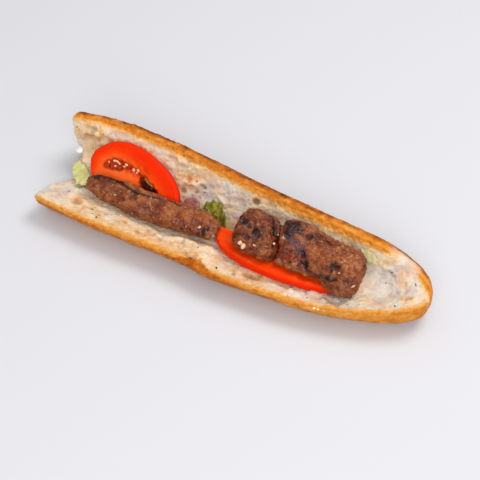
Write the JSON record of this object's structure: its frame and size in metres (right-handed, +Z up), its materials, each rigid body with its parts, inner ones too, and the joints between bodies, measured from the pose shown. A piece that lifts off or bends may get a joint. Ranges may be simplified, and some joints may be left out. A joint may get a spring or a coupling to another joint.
{
  "type": "meatball sandwich",
  "caption": "Split crusty loaf lying open like a trough, filled along its fold with grilled minced-meat fingers, tomato half-slices, lettuce and onion.",
  "frame": {"origin": "middle of the base, on the surface that the loaf lies on", "axes": "+X along the loaf to its whole, rounded end, +Y to the raised half, +Z up"},
  "size_m": [0.2778, 0.0836, 0.0459],
  "materials": {
    "crumb": "soft open crumb, browned crust outside",
    "browned_meat": "grilled, charred in spots, a little greasy",
    "tomato_flesh": "wet cut flesh",
    "lettuce_leaf": "thin fresh leaf",
    "onion_flesh": "translucent, moist"
  },
  "bodies": {
    "root": {"bread": "crumb", "meat_left": "browned_meat", "meat_middle": "browned_meat", "meat_right": "browned_meat", "tomato_left": "tomato_flesh", "tomato_right": "tomato_flesh", "lettuce_end": "lettuce_leaf", "lettuce_middle": "lettuce_leaf", "lettuce_sliver": "lettuce_leaf", "onion_end": "onion_flesh", "onion_left": "onion_flesh", "onion_middle": "onion_flesh"}
  },
  "joints": []
}
